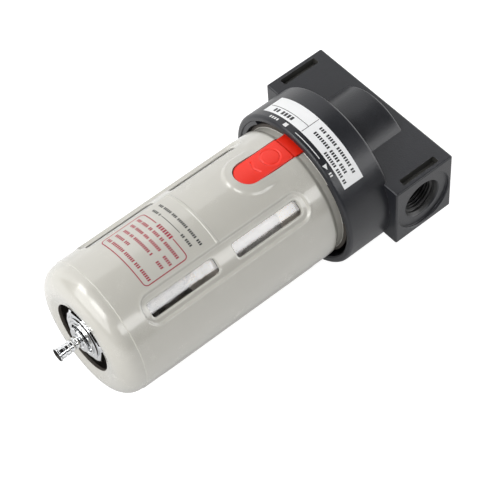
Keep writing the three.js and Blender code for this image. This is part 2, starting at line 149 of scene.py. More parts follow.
def make(name, points, faces, material=None, smooth=30.0, weighted=False):
    """A shaded object from points in metres and lists of corners."""
    mesh = bpy.data.meshes.new(name)
    mesh.from_pydata(points.tolist() if isinstance(points, np.ndarray) else points, [], faces)
    work = bmesh.new()
    work.from_mesh(mesh)
    bmesh.ops.remove_doubles(work, verts=work.verts, dist=WELD)
    bmesh.ops.recalc_face_normals(work, faces=work.faces)
    work.to_mesh(mesh)
    work.free()
    piece = bpy.data.objects.new(name, mesh)
    bpy.context.scene.collection.objects.link(piece)
    dress(piece, material, smooth, weighted)
    return piece


def dress(piece, material, smooth=30.0, weighted=True):
    """Gives a piece its material, and smooth shading up to an angle in degrees."""
    piece.data.materials.clear()
    if material:
        piece.data.materials.append(material)
    piece.data.shade_smooth()
    piece.data.set_sharp_from_angle(angle=math.radians(smooth))
    if weighted:
        normals = piece.modifiers.new("weighted normals", "WEIGHTED_NORMAL")
        normals.keep_sharp = True


def rounded(corners, steps=5, closed=True):
    """A profile of (radius, height[, fillet]) corners with each fillet drawn as an arc."""
    count = len(corners)
    result = []
    for i, corner in enumerate(corners):
        here = np.array(corner[:2], float)
        fillet = corner[2] if len(corner) > 2 else 0
        if not fillet or (not closed and i in (0, count - 1)):
            result.append(tuple(here))
            continue
        before = np.array(corners[i - 1][:2], float) - here
        after = np.array(corners[(i + 1) % count][:2], float) - here
        room = 0.499 * min(np.linalg.norm(before), np.linalg.norm(after))
        before /= np.linalg.norm(before)
        after /= np.linalg.norm(after)
        half = math.acos(np.clip(before @ after, -1, 1)) / 2
        reach = min(fillet / math.tan(half), room)
        radius = reach * math.tan(half)
        middle = (before + after) / np.linalg.norm(before + after)
        centre = here + middle * (radius / math.sin(half))
        start, end = here + before * reach - centre, here + after * reach - centre
        sweep = math.pi - 2 * half
        for k in range(steps + 1):
            share = k / steps
            a, b = math.sin((1 - share) * sweep), math.sin(share * sweep)
            result.append(tuple(centre + (start * a + end * b) / math.sin(sweep)))
    return result


def ellipse(centre, radii, start, end, steps):
    """Profile points on an ellipse; 0 degrees points outwards and 90 up."""
    turn = np.radians(np.linspace(start, end, steps + 1))
    return list(zip(centre[0] + radii[0] * np.cos(turn), centre[1] + radii[1] * np.sin(turn)))


def ring_faces(rows, columns, closed):
    """Quads between the rows of a grid whose columns close on themselves."""
    faces = []
    for i in range(rows if closed else rows - 1):
        upper, lower = i * columns, ((i + 1) % rows) * columns
        for j in range(columns):
            k = (j + 1) % columns
            faces.append((upper + j, upper + k, lower + k, lower + j))
    return faces


def bar_faces(count, length):
    """Faces of a bar with end caps: a section of `count` points at `length` places in turn."""
    caps = [tuple(range(count)), tuple(range(count * length - 1, count * (length - 1) - 1, -1))]
    return caps + ring_faces(length, count, False)


def lathe(name, profile, material=None, columns=COLUMNS, shape=None):
    """Revolves a profile about Z. shape(radius, angle, height) may change the radii.
    Without a material it is a temporary solid."""
    radius, height = np.array(profile, float).T
    angle = np.arange(columns) * 360 / columns
    radii = np.repeat(radius[:, None], columns, 1)
    if shape:
        radii = shape(radii, angle[None, :], height[:, None])
    points = around(radii, angle[None, :], height[:, None]).reshape(-1, 3)
    faces = ring_faces(len(radius), columns, radius[0] > 0)
    return make(name, points, faces, material, weighted=bool(material))


def prism(outline, near, far, angle=0):
    """A temporary solid: an outline in X and height, run radially from near to far."""
    turn = math.radians(angle)
    points = []
    for reach in (near, far):
        for x, z in outline:
            points.append((
                (x * math.cos(turn) + reach * math.sin(turn)) * MM,
                (x * math.sin(turn) - reach * math.cos(turn)) * MM,
                (z + PORT_AXIS) * MM,
            ))
    return make("cutter", points, bar_faces(len(outline), 2))


def rounded_rectangle(half, top, bottom, corner):
    corners = [(half, bottom), (half, top), (-half, top), (-half, bottom)]
    return rounded([(x, z, corner) for x, z in corners], 8)


def tongue(half, top, end):
    """A strip with a square top and a half-round lower end centred at `end`."""
    return [(half, top), (-half, top)] + ellipse((0, end), (half, half), 180, 360, 32)


def join(pieces):
    """One temporary solid from several that don't touch."""
    first = pieces[0]
    work = bmesh.new()
    for piece in pieces:
        work.from_mesh(piece.data)
    work.to_mesh(first.data)
    work.free()
    for piece in pieces[1:]:
        bpy.data.objects.remove(piece)
    return first


def combine(piece, other, operation):
    """Adds, cuts or intersects a temporary solid with a piece, and deletes it."""
    tool = piece.modifiers.new("combine", "BOOLEAN")
    tool.operation, tool.object, tool.solver = operation, other, "MANIFOLD"
    graph = bpy.context.evaluated_depsgraph_get()
    mesh = bpy.data.meshes.new_from_object(piece.evaluated_get(graph), depsgraph=graph)
    piece.modifiers.clear()
    piece.data = mesh
    bpy.data.objects.remove(other)


def clean(piece, material, smooth=30.0):
    """Merges the slivers that a cut leaves, then shades the piece again."""
    work = bmesh.new()
    work.from_mesh(piece.data)
    bmesh.ops.remove_doubles(work, verts=work.verts, dist=WELD_AFTER_CUT)
    bmesh.ops.dissolve_degenerate(work, edges=work.edges, dist=WELD)
    work.to_mesh(piece.data)
    work.free()
    dress(piece, material, smooth)


def settle(piece, body, replaced=None):
    """Puts a finished piece on its body and in place of a CAD node."""
    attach(piece, body)
    if replaced:
        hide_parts(replaced)


def smooth_step(value):
    """0 to 1 with no kink at either end, for values from 0 to 1."""
    value = np.clip(value, 0, 1)
    return value * value * (3 - 2 * value)


def march(start, end, step_at):
    """Positions from start to end whose spacing follows step_at(position)."""
    direction = 1 if end > start else -1
    found = [start]
    while direction * (end - found[-1]) > 1e-6:
        found.append(found[-1] + direction * step_at(found[-1]))
    scale = (end - start) / (found[-1] - start)
    return start + (np.array(found) - start) * scale


def outside_rectangle(x, z, half, top, bottom, corner):
    """Distance outside a rounded rectangle, negative inside."""
    qx = np.abs(x) - (half - corner)
    qz = np.abs(z - (top + bottom) / 2) - ((top - bottom) / 2 - corner)
    beyond = np.hypot(np.maximum(qx, 0), np.maximum(qz, 0))
    return beyond + np.minimum(np.maximum(qx, qz), 0) - corner


def outside_tongue(x, z, half, end):
    """Distance outside a strip with a half-round lower end, negative inside."""
    return np.hypot(x, np.minimum(z - end, 0)) - half


# -------------------- material helpers

CLOUD_PER_MM = 0.09
COAT_ROUGHNESS = 0.075


def node(tree, kind, inputs=None, **settings):
    """A shader node whose inputs are values or other nodes' outputs."""
    made = tree.nodes.new("ShaderNode" + kind)
    for key, value in settings.items():
        setattr(made, key, value)
    for key, value in (inputs or {}).items():
        if isinstance(value, bpy.types.NodeSocket):
            tree.links.new(value, made.inputs[key])
        else:
            made.inputs[key].default_value = value
    return made


def ramp(tree, factor, stops):
    """A colour ramp through stops of (position, grey level or colour)."""
    made = node(tree, "ValToRGB", {"Fac": factor})
    elements = made.color_ramp.elements
    while len(elements) < len(stops):
        elements.new(0.5)
    for element, (position, value) in zip(elements, stops):
        element.position = position
        colour = (value,) * 3 if isinstance(value, (int, float)) else value
        element.color = (*colour, 1)
    return made.outputs["Color"]


def maths(tree, operation, *values, kind="Math"):
    """The outputs of a sum on values or other nodes' outputs."""
    return node(tree, kind, dict(enumerate(values)), operation=operation).outputs


def noise(tree, position, per_mm, detail, rough=0.55):
    inputs = {"Vector": position, "Scale": per_mm, "Detail": detail, "Roughness": rough}
    return node(tree, "TexNoise", inputs).outputs["Fac"]


def start_material(name):
    """A material with its tree, its Principled shader and a position in millimetres."""
    material = bpy.data.materials.new(name)
    material.use_nodes = True
    tree = material.node_tree
    shader = tree.nodes["Principled BSDF"]
    where = node(tree, "TexCoord").outputs["Object"]
    scaled = node(tree, "VectorMath", {0: where, "Scale": 1 / MM}, operation="SCALE")
    return material, tree, shader, scaled.outputs["Vector"]


def map_range(tree, value, low, high, start=0.0, end=1.0):
    """From low to high as the value goes from start to end."""
    spans = {"Value": value, "From Min": start, "From Max": end, "To Min": low, "To Max": high}
    return node(tree, "MapRange", spans).outputs["Result"]


def connect(tree, shader, tint, rough, height, bump):
    """Links a colour, a roughness, and a height of which 1 stands `bump` millimetres high."""
    relief = node(tree, "Bump", {"Height": height, "Distance": bump * MM}).outputs["Normal"]
    for key, value in (("Base Color", tint), ("Roughness", rough), ("Normal", relief)):
        tree.links.new(value, shader.inputs[key])


def show_clear(tree, shader, factor, colour=(1, 1, 1, 1)):
    """Shows a plain transparent surface instead of the shader where the factor is 1."""
    clear = node(tree, "BsdfTransparent", {"Color": colour})
    mixed = node(tree, "MixShader", {"Fac": factor, 1: shader.outputs[0], 2: clear.outputs[0]})
    tree.links.new(mixed.outputs[0], tree.nodes["Material Output"].inputs["Surface"])


def wear_and_edge_highlight_tint(tree, position, tint, wear_and_highlight, worn_and_highlight_colour):
    """Mixes a lighter colour in along the edges, in patches: partly wear, partly a painted
    highlight on the edges.
    """
    eased = node(tree, "Bevel", {"Radius": 0.5 * MM}, samples=6).outputs["Normal"]
    flat = node(tree, "NewGeometry").outputs["Normal"]
    turn = maths(tree, "DOT_PRODUCT", eased, flat, kind="VectorMath")["Value"]
    edge = ramp(tree, turn, [(0.86, 1.0), (0.985, 0.0)])
    patch = ramp(tree, noise(tree, position, 0.8, 4), [(0.45, 0.0), (0.62, 1.0)])
    both = maths(tree, "MULTIPLY", edge, patch)[0]
    amount = maths(tree, "MULTIPLY", both, wear_and_highlight)[0]
    mixed = node(tree, "Mix", {"Factor": amount, "A": tint, "B": (*worn_and_highlight_colour, 1)}, data_type="RGBA")
    return mixed.outputs["Result"]


def surface(name, colour, roughness, metallic=0.0, grain=2.0, bump=0.02, drift=0.06,
            wear_and_highlight=0.0, worn_and_highlight_colour=(0.5, 0.5, 0.5), spread=0.06, coat=0.0, stretch=None):
    """A finish with fine grain in its bump, cloudy colour and roughness, and lighter edges that are
    partly wear and partly a painted highlight.

    grain and stretch are per millimetre, bump is in millimetres, drift is the share by which
    the colour varies, and spread is how far the roughness varies each way.
    """
    material, tree, shader, position = start_material(name)
    grained = position
    if stretch:
        grained = maths(tree, "MULTIPLY", position, stretch, kind="VectorMath")[0]
    cloud = noise(tree, position, CLOUD_PER_MM, 4)
    fine = noise(tree, grained, grain, 5, 0.6)
    darker = tuple(c * (1 - drift) for c in colour)
    lighter = tuple(min(1, c * (1 + drift)) for c in colour)
    tint = ramp(tree, cloud, [(0.3, darker), (0.7, lighter)])
    if wear_and_highlight:
        tint = wear_and_edge_highlight_tint(tree, position, tint, wear_and_highlight, worn_and_highlight_colour)
    uneven = maths(tree, "ADD", cloud, fine)[0]
    smoothest, roughest = max(0.02, roughness - spread), roughness + spread
    rough = map_range(tree, uneven, smoothest, roughest, 0.6, 1.4)
    connect(tree, shader, tint, rough, fine, bump)
    shader.inputs["Metallic"].default_value = metallic
    shader.inputs["Coat Weight"].default_value = coat
    shader.inputs["Coat Roughness"].default_value = COAT_ROUGHNESS
    return material


# -------------------- materials

# The black and guard paints get lighter edges: partly wear, partly a painted highlight along the
# rims.
BLACK_PAINT = surface("black_paint", (0.0125, 0.0135, 0.018), 0.33, grain=1.6, bump=0.05,
                      drift=0.12, wear_and_highlight=0.5, worn_and_highlight_colour=(0.20, 0.20, 0.21), spread=0.05)
GUARD_PAINT = surface("guard_paint", (0.60, 0.585, 0.53), 0.26, grain=2.5, bump=0.0025,
                      drift=0.012, wear_and_highlight=0.25, worn_and_highlight_colour=(0.74, 0.73, 0.69), spread=0.03, coat=0.85)
RED_PLASTIC = surface("red_plastic", (0.97, 0.024, 0.007), 0.34, grain=3.0, bump=0.008, drift=0.04)
STICKER = surface("sticker", (0.93, 0.935, 0.94), 0.5, grain=4.0, bump=0.006, drift=0.02)
BLACK_INK, RED_INK, WHITE_INK = (
    surface(name, colour, 0.5, grain=6.0, bump=0.004, drift=drift)
    for name, colour, drift in (
        ("black_ink", (0.012, 0.012, 0.014), 0.2),
        ("red_ink", (0.36, 0.012, 0.04), 0.2),
        ("white_ink", (0.85, 0.85, 0.85), 0.05),
    )
)
RUBBER = surface("black_rubber", (0.018, 0.018, 0.02), 0.7, grain=4.0, drift=0.3)
PALE_PLASTIC = surface("pale_plastic", (0.62, 0.57, 0.50), 0.45)
CHROME = surface("chrome", (0.80, 0.81, 0.82), 0.07, metallic=1, grain=1.2, bump=0.0006,
                 drift=0.03, spread=0.03)
DULL_SLOT = surface("dull_slot", (0.045, 0.045, 0.04), 0.6, grain=1.2, bump=0.03, drift=0.25)
# Painted shade: a black darker than the paint, put inside the threaded bores.
BORE_PAINTED_SHADE = surface("bore_painted_shade", (0.006, 0.006, 0.006), 0.45, bump=0.01, drift=0.2)
# Painted shade for the guard's inside and its flange in the collar's shadow: a dark brownish grey.
GUARD_PAINTED_SHADE = surface("guard_painted_shade", (0.055, 0.045, 0.036), 0.6, bump=0.01, drift=0.15)
DARK_BORE = surface("dark_bore", (0.03, 0.028, 0.026), 0.45, metallic=1, bump=0.01, drift=0.2)
STEEL = surface("steel", (0.50, 0.51, 0.52), 0.30, metallic=1, bump=0.006, stretch=(1, 1, 0.1))
BRASS = surface("brass", (0.60, 0.42, 0.15), 0.28, metallic=1, bump=0.006, stretch=(0.2, 0.2, 2))


def porous_material():
    """White sintered plastic: rounded grains with dark pores between them."""
    material, tree, shader, position = start_material("porous_plastic")
    cells = node(tree, "TexVoronoi", {"Vector": position, "Scale": 1.6}, feature="F1")
    depth = cells.outputs["Distance"]
    tint = ramp(tree, depth, [(0.2, (0.80, 0.78, 0.76)), (0.85, (0.56, 0.54, 0.52))])
    rough = map_range(tree, noise(tree, position, 3.0, 4), 0.75, 1.0)
    connect(tree, shader, tint, rough, depth, -0.15)
    return material


def clear_material():
    """Clear polycarbonate with a faint wave from moulding, which lets the lamps through."""
    material, tree, shader, position = start_material("clear_plastic")
    for key, value in (
        ("Transmission Weight", 1.0), ("IOR", 1.5),
        ("Coat Weight", 1.0), ("Coat IOR", 1.6), ("Coat Roughness", 0.06),
    ):
        shader.inputs[key].default_value = value
    wave = noise(tree, position, 0.12, 2)
    tint = ramp(tree, wave, [(0.3, (0.94, 0.92, 0.91)), (0.7, (0.98, 0.97, 0.96))])
    connect(tree, shader, tint, map_range(tree, wave, 0.02, 0.07), wave, 0.15)
    shadow = node(tree, "LightPath").outputs["Is Shadow Ray"]
    show_clear(tree, shader, shadow, (0.9, 0.9, 0.9, 1))
    return material


POROUS = porous_material()
CLEAR = clear_material()

# -------------------- head


def block_solid():
    """The port block with its eased edges."""
    work = bmesh.new()
    bmesh.ops.create_cube(work, size=2)
    for corner in work.verts:
        corner.co = Vector(c * h for c, h in zip(corner.co, BLOCK_HALF))
        corner.co.z += PORT_AXIS
        corner.co *= MM
    bmesh.ops.bevel(work, geom=list(work.edges), offset=0.8 * MM, segments=5, profile=0.5,
                    affect="EDGES")
    mesh = bpy.data.meshes.new("head")
    work.to_mesh(mesh)
    work.free()
    block = bpy.data.objects.new("head", mesh)
    bpy.context.scene.collection.objects.link(block)
    return block


def drum_and_collar():
    """The round body under and in front of the block."""
    return lathe("cutter", rounded([
        (0, DRUM_TOP),
        (DRUM_R, DRUM_TOP, 0.9),
        (DRUM_R, COLLAR_TOP, 0.5),
        (COLLAR_R, COLLAR_TOP, 1.1),
        (COLLAR_R, COLLAR_BOTTOM, 1.5),
        (SOCKET_R - 1, COLLAR_BOTTOM),
        (0, COLLAR_BOTTOM),
    ], closed=False), columns=288)


def socket_solid():
    """The hollow from below: bowl socket, flow chamber, throat and the boss's passage."""
    return lathe("cutter", rounded([
        (0, COLLAR_BOTTOM - 1),
        (SOCKET_R + 0.7, COLLAR_BOTTOM - 1),
        (SOCKET_R + 0.7, COLLAR_BOTTOM),
        (SOCKET_R, COLLAR_BOTTOM + 0.7, 0.3),
        (SOCKET_R, SOCKET_TOP),
        (CHAMBER_R, SOCKET_TOP),
        (CHAMBER_R, CHAMBER_TOP),
        (THROAT_R, CHAMBER_TOP),
        (THROAT_R, THROAT_TOP),
        (BOSS_R, THROAT_TOP),
        (BOSS_R, BOSS_BOTTOM),
        (PASSAGE_R, BOSS_BOTTOM, 0.5),
        (PASSAGE_R, PASSAGE_TOP),
        (0, PASSAGE_TOP),
    ], closed=False), columns=216)


def port_plug(side):
    """The port's hollow along X: a recess, a chamfer and a helical pipe thread."""
    face, floor = BLOCK_HALF.x, BLOCK_HALF.x - RECESS_DEPTH
    pitch, core, depth = THREAD["pitch"], THREAD["core"], THREAD["depth"]
    chamfer, first = 0.4, floor - THREAD["start"]
    mouth = rounded([
        (0, face + 1), (RECESS_R + chamfer, face + 1), (RECESS_R + chamfer, face),
        (RECESS_R, face - chamfer), (RECESS_R, floor, 0.3), (MOUTH_R + 0.45, floor, 0.25),
        (MOUTH_R, floor - 0.45, 0.15), (core + 0.8, first + 0.2),
    ], closed=False)
    run = np.arange(first, floor - THREAD["end"], -pitch / 10)
    end = run[-1] - 1
    profile = np.array([*mouth, *((core + depth / 2, x) for x in run), (core, end), (0, end)])
    columns = 120
    angle = np.arange(columns) * 360 / columns
    radii = np.repeat(profile[:, :1], columns, 1)
    along = profile[:, 1:]
    threaded = (along < first + 0.1) & (along >= run[-1])
    phase = (along / pitch + angle / 360) % 1
    ridge = np.abs(2 * phase - 1)
    fade = smooth_step((first + 0.1 - along) / 1.5)
    radii = np.where(threaded, core + depth * (1 - fade * smooth_step(ridge)), radii)
    turn = np.radians(angle)[None, :]
    points = place(side * (along + 0 * turn), side * radii * np.cos(turn), radii * np.sin(turn))
    return make("cutter", points.reshape(-1, 3), ring_faces(len(profile), columns, False))


def slot_cutters():
    """The four bracket slots."""
    outline = rounded_rectangle(SLOT["half"], SLOT["reach"], -SLOT["reach"], SLOT["corner"])
    return [
        prism([(x + side * SLOT["x"], z) for x, z in outline],
              BLOCK_HALF.y - SLOT["depth"], BLOCK_HALF.y + 1, turn)
        for side in (-1, 1) for turn in (0, 180)
    ]


def bayonet_lugs(inner, outer, top, bottom, half):
    """Three sectors of a ring, at 60, 180 and 300 degrees, `half` degrees each way."""
    ease = 0.3
    section = np.array(rounded([
        (inner, top, ease), (outer, top, ease), (outer, bottom, ease), (inner, bottom, ease),
    ], 3))
    lugs = []
    for centre in (60, 180, 300):
        angle = np.linspace(centre - half, centre + half, 25)
        points = around(section[:, 0], angle[:, None], section[:, 1]).reshape(-1, 3)
        lugs.append(make("cutter", points, bar_faces(len(section), len(angle))))
    return join(lugs)


def finish_hollows(head):
    """Dull grey inside the bracket slots, and painted shade inside the threaded bores: a black
    darker than the paint.
    """
    head.data.materials.append(DULL_SLOT)
    head.data.materials.append(BORE_PAINTED_SHADE)
    for face in head.data.polygons:
        x, y, z = (abs(c) for c in (face.center / MM - Vector((0, 0, PORT_AXIS))))
        slot = (
            abs(x - SLOT["x"]) < SLOT["half"] + 0.2
            and BLOCK_HALF.y - SLOT["depth"] - 0.6 < y < BLOCK_HALF.y - 0.05
            and z < SLOT["reach"] + 0.2
        )
        deep = BOSS_R - 0.5 < x < BLOCK_HALF.x - RECESS_DEPTH - 0.2
        bore = deep and math.hypot(y, z) < MOUTH_R - 0.25
        if slot or bore:
            face.material_index = 1 if slot else 2


def build_head():
    head = block_solid()
    combine(head, drum_and_collar(), "UNION")
    combine(head, socket_solid(), "DIFFERENCE")
    for side in (-1, 1):
        combine(head, port_plug(side), "DIFFERENCE")
    combine(head, join(slot_cutters()), "DIFFERENCE")
    combine(head, bayonet_lugs(**HEAD_LUG), "UNION")
    clean(head, BLACK_PAINT)
    finish_hollows(head)
    settle(head, "head", "head_body")


build_head()

# -------------------- guard


def guard_relief(angle, z):
    """How far the guard's outer face stands out from its plain round shape."""
    x = GUARD_UPPER * np.sin(np.radians(angle))
    front = np.cos(np.radians(angle)) > 0
    pad = outside_tongue(x, z, PAD["half"], PAD["end"])
    growth = smooth_step((PAD["top"] - z) / PAD["slope"])
    relief = np.where(front, PAD["rise"] * growth * smooth_step(0.5 - pad / 1.6), 0)
    for centre in PANELS:
        px = GUARD_UPPER * np.sin(np.radians(angle - centre))
        facing = np.cos(np.radians(angle - centre)) > 0
        panel = outside_rectangle(px, z, **PANEL)
        dip = -PANEL_DIP * smooth_step(0.5 - panel / 0.7)
        bead = PANEL_BEAD * np.exp(-((panel - 0.8) / 0.45) ** 2)
        for top, bottom in WINDOWS:
            edge = outside_rectangle(px, z, WINDOW_HALF, top, bottom, WINDOW_CORNER)
            dip = dip - WINDOW_DIP * np.clip(1 - edge / 0.6, 0, 1)
        relief = relief + np.where(facing, dip + bead, 0)
    strip = smooth_step((LINE_REACH - np.abs(angle + 0.5)) / 1.5)
    bead = smooth_step(2.3 - np.abs(z - LINE_Z) / 0.3)
    return relief + LINE_RISE * strip * bead


def guard_rows():
    """Outer profile from the top rim to the drain hole, then back up inside."""
    edges = [PANEL["top"], PANEL["bottom"]] + [z for span in WINDOWS for z in span]
    coarse, fine, finest, growth = 1.6, 0.33, 0.16, 0.3

    def step(z):
        near = min(abs(z - edge) for edge in edges)
        near = min(near, abs(z - (PAD["end"] - 6)) / 1.2)
        bead = max(finest, finest + growth * (abs(z - LINE_Z) - 1.2))
        return min(coarse, max(fine, fine + growth * (near - 2)), bead)

    rim = rounded([
        (FLANGE_R, GUARD_TOP), (FLANGE_R, FLANGE_BOTTOM, 0.3),
        (GUARD_NECK, FLANGE_BOTTOM - 0.6, 0.3), (GUARD_NECK, SHOULDER_TOP, 1),
        (GUARD_UPPER, SHOULDER + 0.6, 2), (GUARD_UPPER, SHOULDER - 1),
    ], 8, closed=False)
    wall = march(SHOULDER - 1.4, STEP_Z + 1.2, step)
    slope = (GUARD_LOWER - GUARD_UPPER) / (STEP_Z - SHOULDER)
    side = [(GUARD_UPPER + slope * (z - SHOULDER), z) for z in wall]
    ledge = rounded([
        (GUARD_LOWER, STEP_Z + 0.8), (GUARD_LOWER, STEP_Z + 0.2, 0.15),
        (STEP_R + 0.05, STEP_Z, 0.1), (STEP_R, STEP_Z - 1),
    ], 3, closed=False)
    dome = (DOME_CENTRE, STEP_Z - 1)
    reach = np.array([STEP_R - DOME_CENTRE, STEP_Z - 1 - GUARD_BOTTOM])
    outer_dome = ellipse(dome, reach, 0, -90, 22)[1:]
    inner_bottom, lip = GUARD_BOTTOM + GUARD_WALL, DOME_CENTRE - 0.2
    dish = rounded([
        (lip, GUARD_BOTTOM), (DISH_RADIUS, GUARD_BOTTOM, 2.5), (HOLE_RADIUS, HOLE_BOTTOM, 0.3),
        (HOLE_RADIUS, HOLE_BOTTOM + GUARD_WALL, 0.2), (DISH_RADIUS, inner_bottom, 2),
        (lip, inner_bottom),
    ], 5, closed=False)
    inner_dome = ellipse(dome, reach - GUARD_WALL, -90, 0, 12)
    inner = [(GUARD_INNER, z) for z in np.linspace(STEP_Z, GUARD_TOP + 0.3, 14)]
    top = [(GUARD_INNER + 0.3, GUARD_TOP)]
    return rim + side + ledge + outer_dome + dish + inner_dome + inner + top, len(rim + side)


def guard_columns():
    """Angles of the guard's columns, closer together at the panels and the pad's sides."""
    panel_reach = math.degrees(math.asin((PANEL["half"] + 1) / GUARD_UPPER))
    pad_reach, coarse, fine, pad_fine, growth = 23, 2.4, 0.62, 0.85, 0.35

    def step(angle):
        away = min(abs(angle - centre) - panel_reach for centre in PANELS)
        pad = max(abs(angle) - pad_reach, 0)
        return min(coarse, max(fine, fine + growth * away), pad_fine + growth * pad)

    return march(-180, 180, step)[:-1]


def darken_inside(guard):
    """Paints shade, in a dark brownish primer colour, on the guard's inside and on its flange
    hidden in the collar.
    """
    guard.data.materials.append(GUARD_PAINTED_SHADE)
    for face in guard.data.polygons:
        centre, normal = face.center, face.normal
        inwards = centre.x * normal.x + centre.y * normal.y < -0.5 * math.hypot(centre.x, centre.y)
        low = centre.z < (STEP_Z + PORT_AXIS) * MM
        flange = centre.z > (FLANGE_BOTTOM - 0.5 + PORT_AXIS) * MM
        face.material_index = int(inwards or flange or (low and normal.z > 0.3))


def build_guard():
    profile, plain = guard_rows()
    columns = guard_columns()
    radius, height = np.array(profile).T
    radii = np.repeat(radius[:, None], len(columns), 1)
    shown = np.zeros(len(radius))
    shown[:plain] = smooth_step((SHOULDER - 1 - height[:plain]) / 2)
    radii += shown[:, None] * guard_relief(columns[None, :], height[:, None])
    points = around(radii, columns[None, :], height[:, None]).reshape(-1, 3)
    guard = make("guard", points, ring_faces(len(radius), len(columns), True))
    cutters = [prism(tongue(BUTTON_HALF + 0.3, GUARD_TOP + 3, BUTTON_END), CUT_FROM, CUT_TO)]
    for centre in PANELS:
        for top, bottom in WINDOWS:
            outline = rounded_rectangle(WINDOW_HALF, top, bottom, WINDOW_CORNER)
            cutters.append(prism(outline, CUT_FROM, CUT_TO, centre))
    combine(guard, join(cutters), "DIFFERENCE")
    combine(guard, bayonet_lugs(**GUARD_LUG), "UNION")
    clean(guard, GUARD_PAINT, 38)
    darken_inside(guard)
    settle(guard, "bowl_unit", "bowl_guard")


build_guard()

# -------------------- bowl and its ring


def build_bowl():
    """The bowl with its ring groove, flange and domed bottom, thicker behind each window."""
    bottom, top = heights("bowl")
    floor = bottom + 2.3
    outer, inner, neck, groove, flange, lip, hole = 27.9, 25.9, 28.2, 26.2, 30.6, 24.6, 6.6
    groove_top, groove_bottom, flange_top, flange_bottom = -20.4, -23, -25.3, -27.4
    dome_z, dome_r, pad_rise, pad_half = -129.0, 13.0, 0.6, 11.5
    profile = rounded([
        (lip, top, 0.5), (neck, top, 0.6), (neck, groove_top, 0.2), (groove, groove_top, 0.2),
        (groove, groove_bottom, 0.2), (neck, groove_bottom, 0.2), (neck, flange_top, 0.3),
        (flange, flange_top, 0.4), (flange, flange_bottom, 0.4), (outer, flange_bottom, 0.5),
        (outer, -40),
    ], 4, closed=False)
    profile += [(outer, z) for z in np.arange(PANEL["top"] + 2, dome_z, -0.5)]
    profile += ellipse((dome_r, dome_z), (outer - dome_r, dome_z - bottom), 0, -90, 20)
    profile += rounded([
        (dome_r - 1, bottom), (hole, bottom, 0.3), (hole, floor, 0.3), (dome_r - 1, floor),
    ], 3, closed=False)
    profile += ellipse((dome_r, dome_z), (inner - dome_r, dome_z - floor), -90, 0, 20)
    profile += [(inner, z) for z in np.linspace(dome_z + 2, -33, 8)] + [(lip, -28)]

    def sight_pads(radii, angle, z):
        away = np.min([np.abs((angle - centre + 180) % 360 - 180) for centre in PANELS], axis=0)
        across = smooth_step((pad_half - away) / 2)
        along = smooth_step((PANEL["top"] + 1 - z) / 2) * smooth_step((z - PANEL["bottom"] + 1) / 2)
        return radii + pad_rise * across * along * (radii > outer - 0.1)

    bowl = lathe("bowl_shell", profile, CLEAR, columns=240, shape=sight_pads)
    settle(bowl, "bowl_unit", "bowl")


def build_bowl_ring():
    low, high = heights("bowl_o_ring")
    section = (high - low) / 2
    radius = box_mm("bowl_o_ring")[1].x - section
    profile = ellipse((radius, (low + high) / 2), (section, section), 0, 345, 23)
    ring = lathe("bowl_seal_ring", profile, RUBBER, columns=144)
    settle(ring, "bowl_unit", "bowl_o_ring")


build_bowl()
build_bowl_ring()

# -------------------- lock button


def button_face(x, z):
    """Radius of the button's outer face, with its step, eased edge and sunk marks."""
    blend = smooth_step((z - BUTTON_STEP + 0.35) / 0.7)
    radius = BUTTON_FACE + (BUTTON_UPPER - BUTTON_FACE) * blend
    edge = -outside_tongue(x, z, BUTTON_HALF, BUTTON_END)
    radius -= 0.4 * np.clip(1 - edge / 0.5, 0, 1) ** 2
    ring = np.hypot(x, z - RING_MARK_Z) / RING_MARK_R
    radius -= 0.24 * np.exp(-((ring - 1) / 0.09) ** 2)
    chevron = np.abs(z - CHEVRON_Z - 0.4 * np.abs(x))
    radius -= np.where(np.abs(x) < 3.2, 0.4 * np.exp(-(chevron / 0.3) ** 2), 0)
    return radius


def build_button():
    x = np.linspace(-BUTTON_HALF, BUTTON_HALF, 90)
    z = np.linspace(BUTTON_LOW, BUTTON_TOP, 240)
    across, along = np.meshgrid(x, z)
    count, (rows, columns) = across.size, across.shape
    outer, inner = (
        place(across, -np.sqrt(radius ** 2 - across ** 2), along).reshape(-1, 3)
        for radius in (button_face(across, along), BUTTON_INNER)
    )
    faces = []
    for i in range(rows - 1):
        for j in range(columns - 1):
            a = i * columns + j
            quad = (a, a + 1, a + columns + 1, a + columns)
            faces += [quad, tuple(count + k for k in reversed(quad))]
    grid = np.arange(count).reshape(rows, columns)
    border = [*grid[0], *grid[1:, -1], *grid[-1, -2::-1], *grid[-2:0:-1, 0]]
    border = [int(i) for i in border]
    for a, b in zip(border, border[1:] + border[:1]):
        faces.append((a, b, count + b, count + a))
    button = make("button", np.concatenate([outer, inner]), faces)
    hook = prism(rounded_rectangle(HOOK_HALF, BUTTON_TOP, HOOK_BOTTOM, 0.3), HOOK_INNER, HOOK_OUTER)
    outline = tongue(BUTTON_HALF - 0.01, BUTTON_TOP + 1, BUTTON_END)
    combine(button, prism(outline, CUT_FROM, CUT_TO), "INTERSECT")
    combine(button, hook, "UNION")
    clean(button, RED_PLASTIC, 40)
    settle(button, "button", "lock_button")


build_button()

# -------------------- drain


def turned(name, body, profile, material, columns=96, shape=None):
    """A lathe-turned piece that stands for the CAD node of the same name."""
    piece = lathe(name + "_fine", profile, material, columns, shape)
    settle(piece, body, name)
    return piece


def build_drain_washer():
    low, high = heights("drain_washer")
    outer, hole = box_mm("drain_washer")[1].x, 6.6
    turned("drain_washer", "bowl_unit", rounded([
        (hole, high, 0.2), (outer, high, 0.3), (outer, low, 0.4), (hole, low, 0.2),
    ]), CHROME)


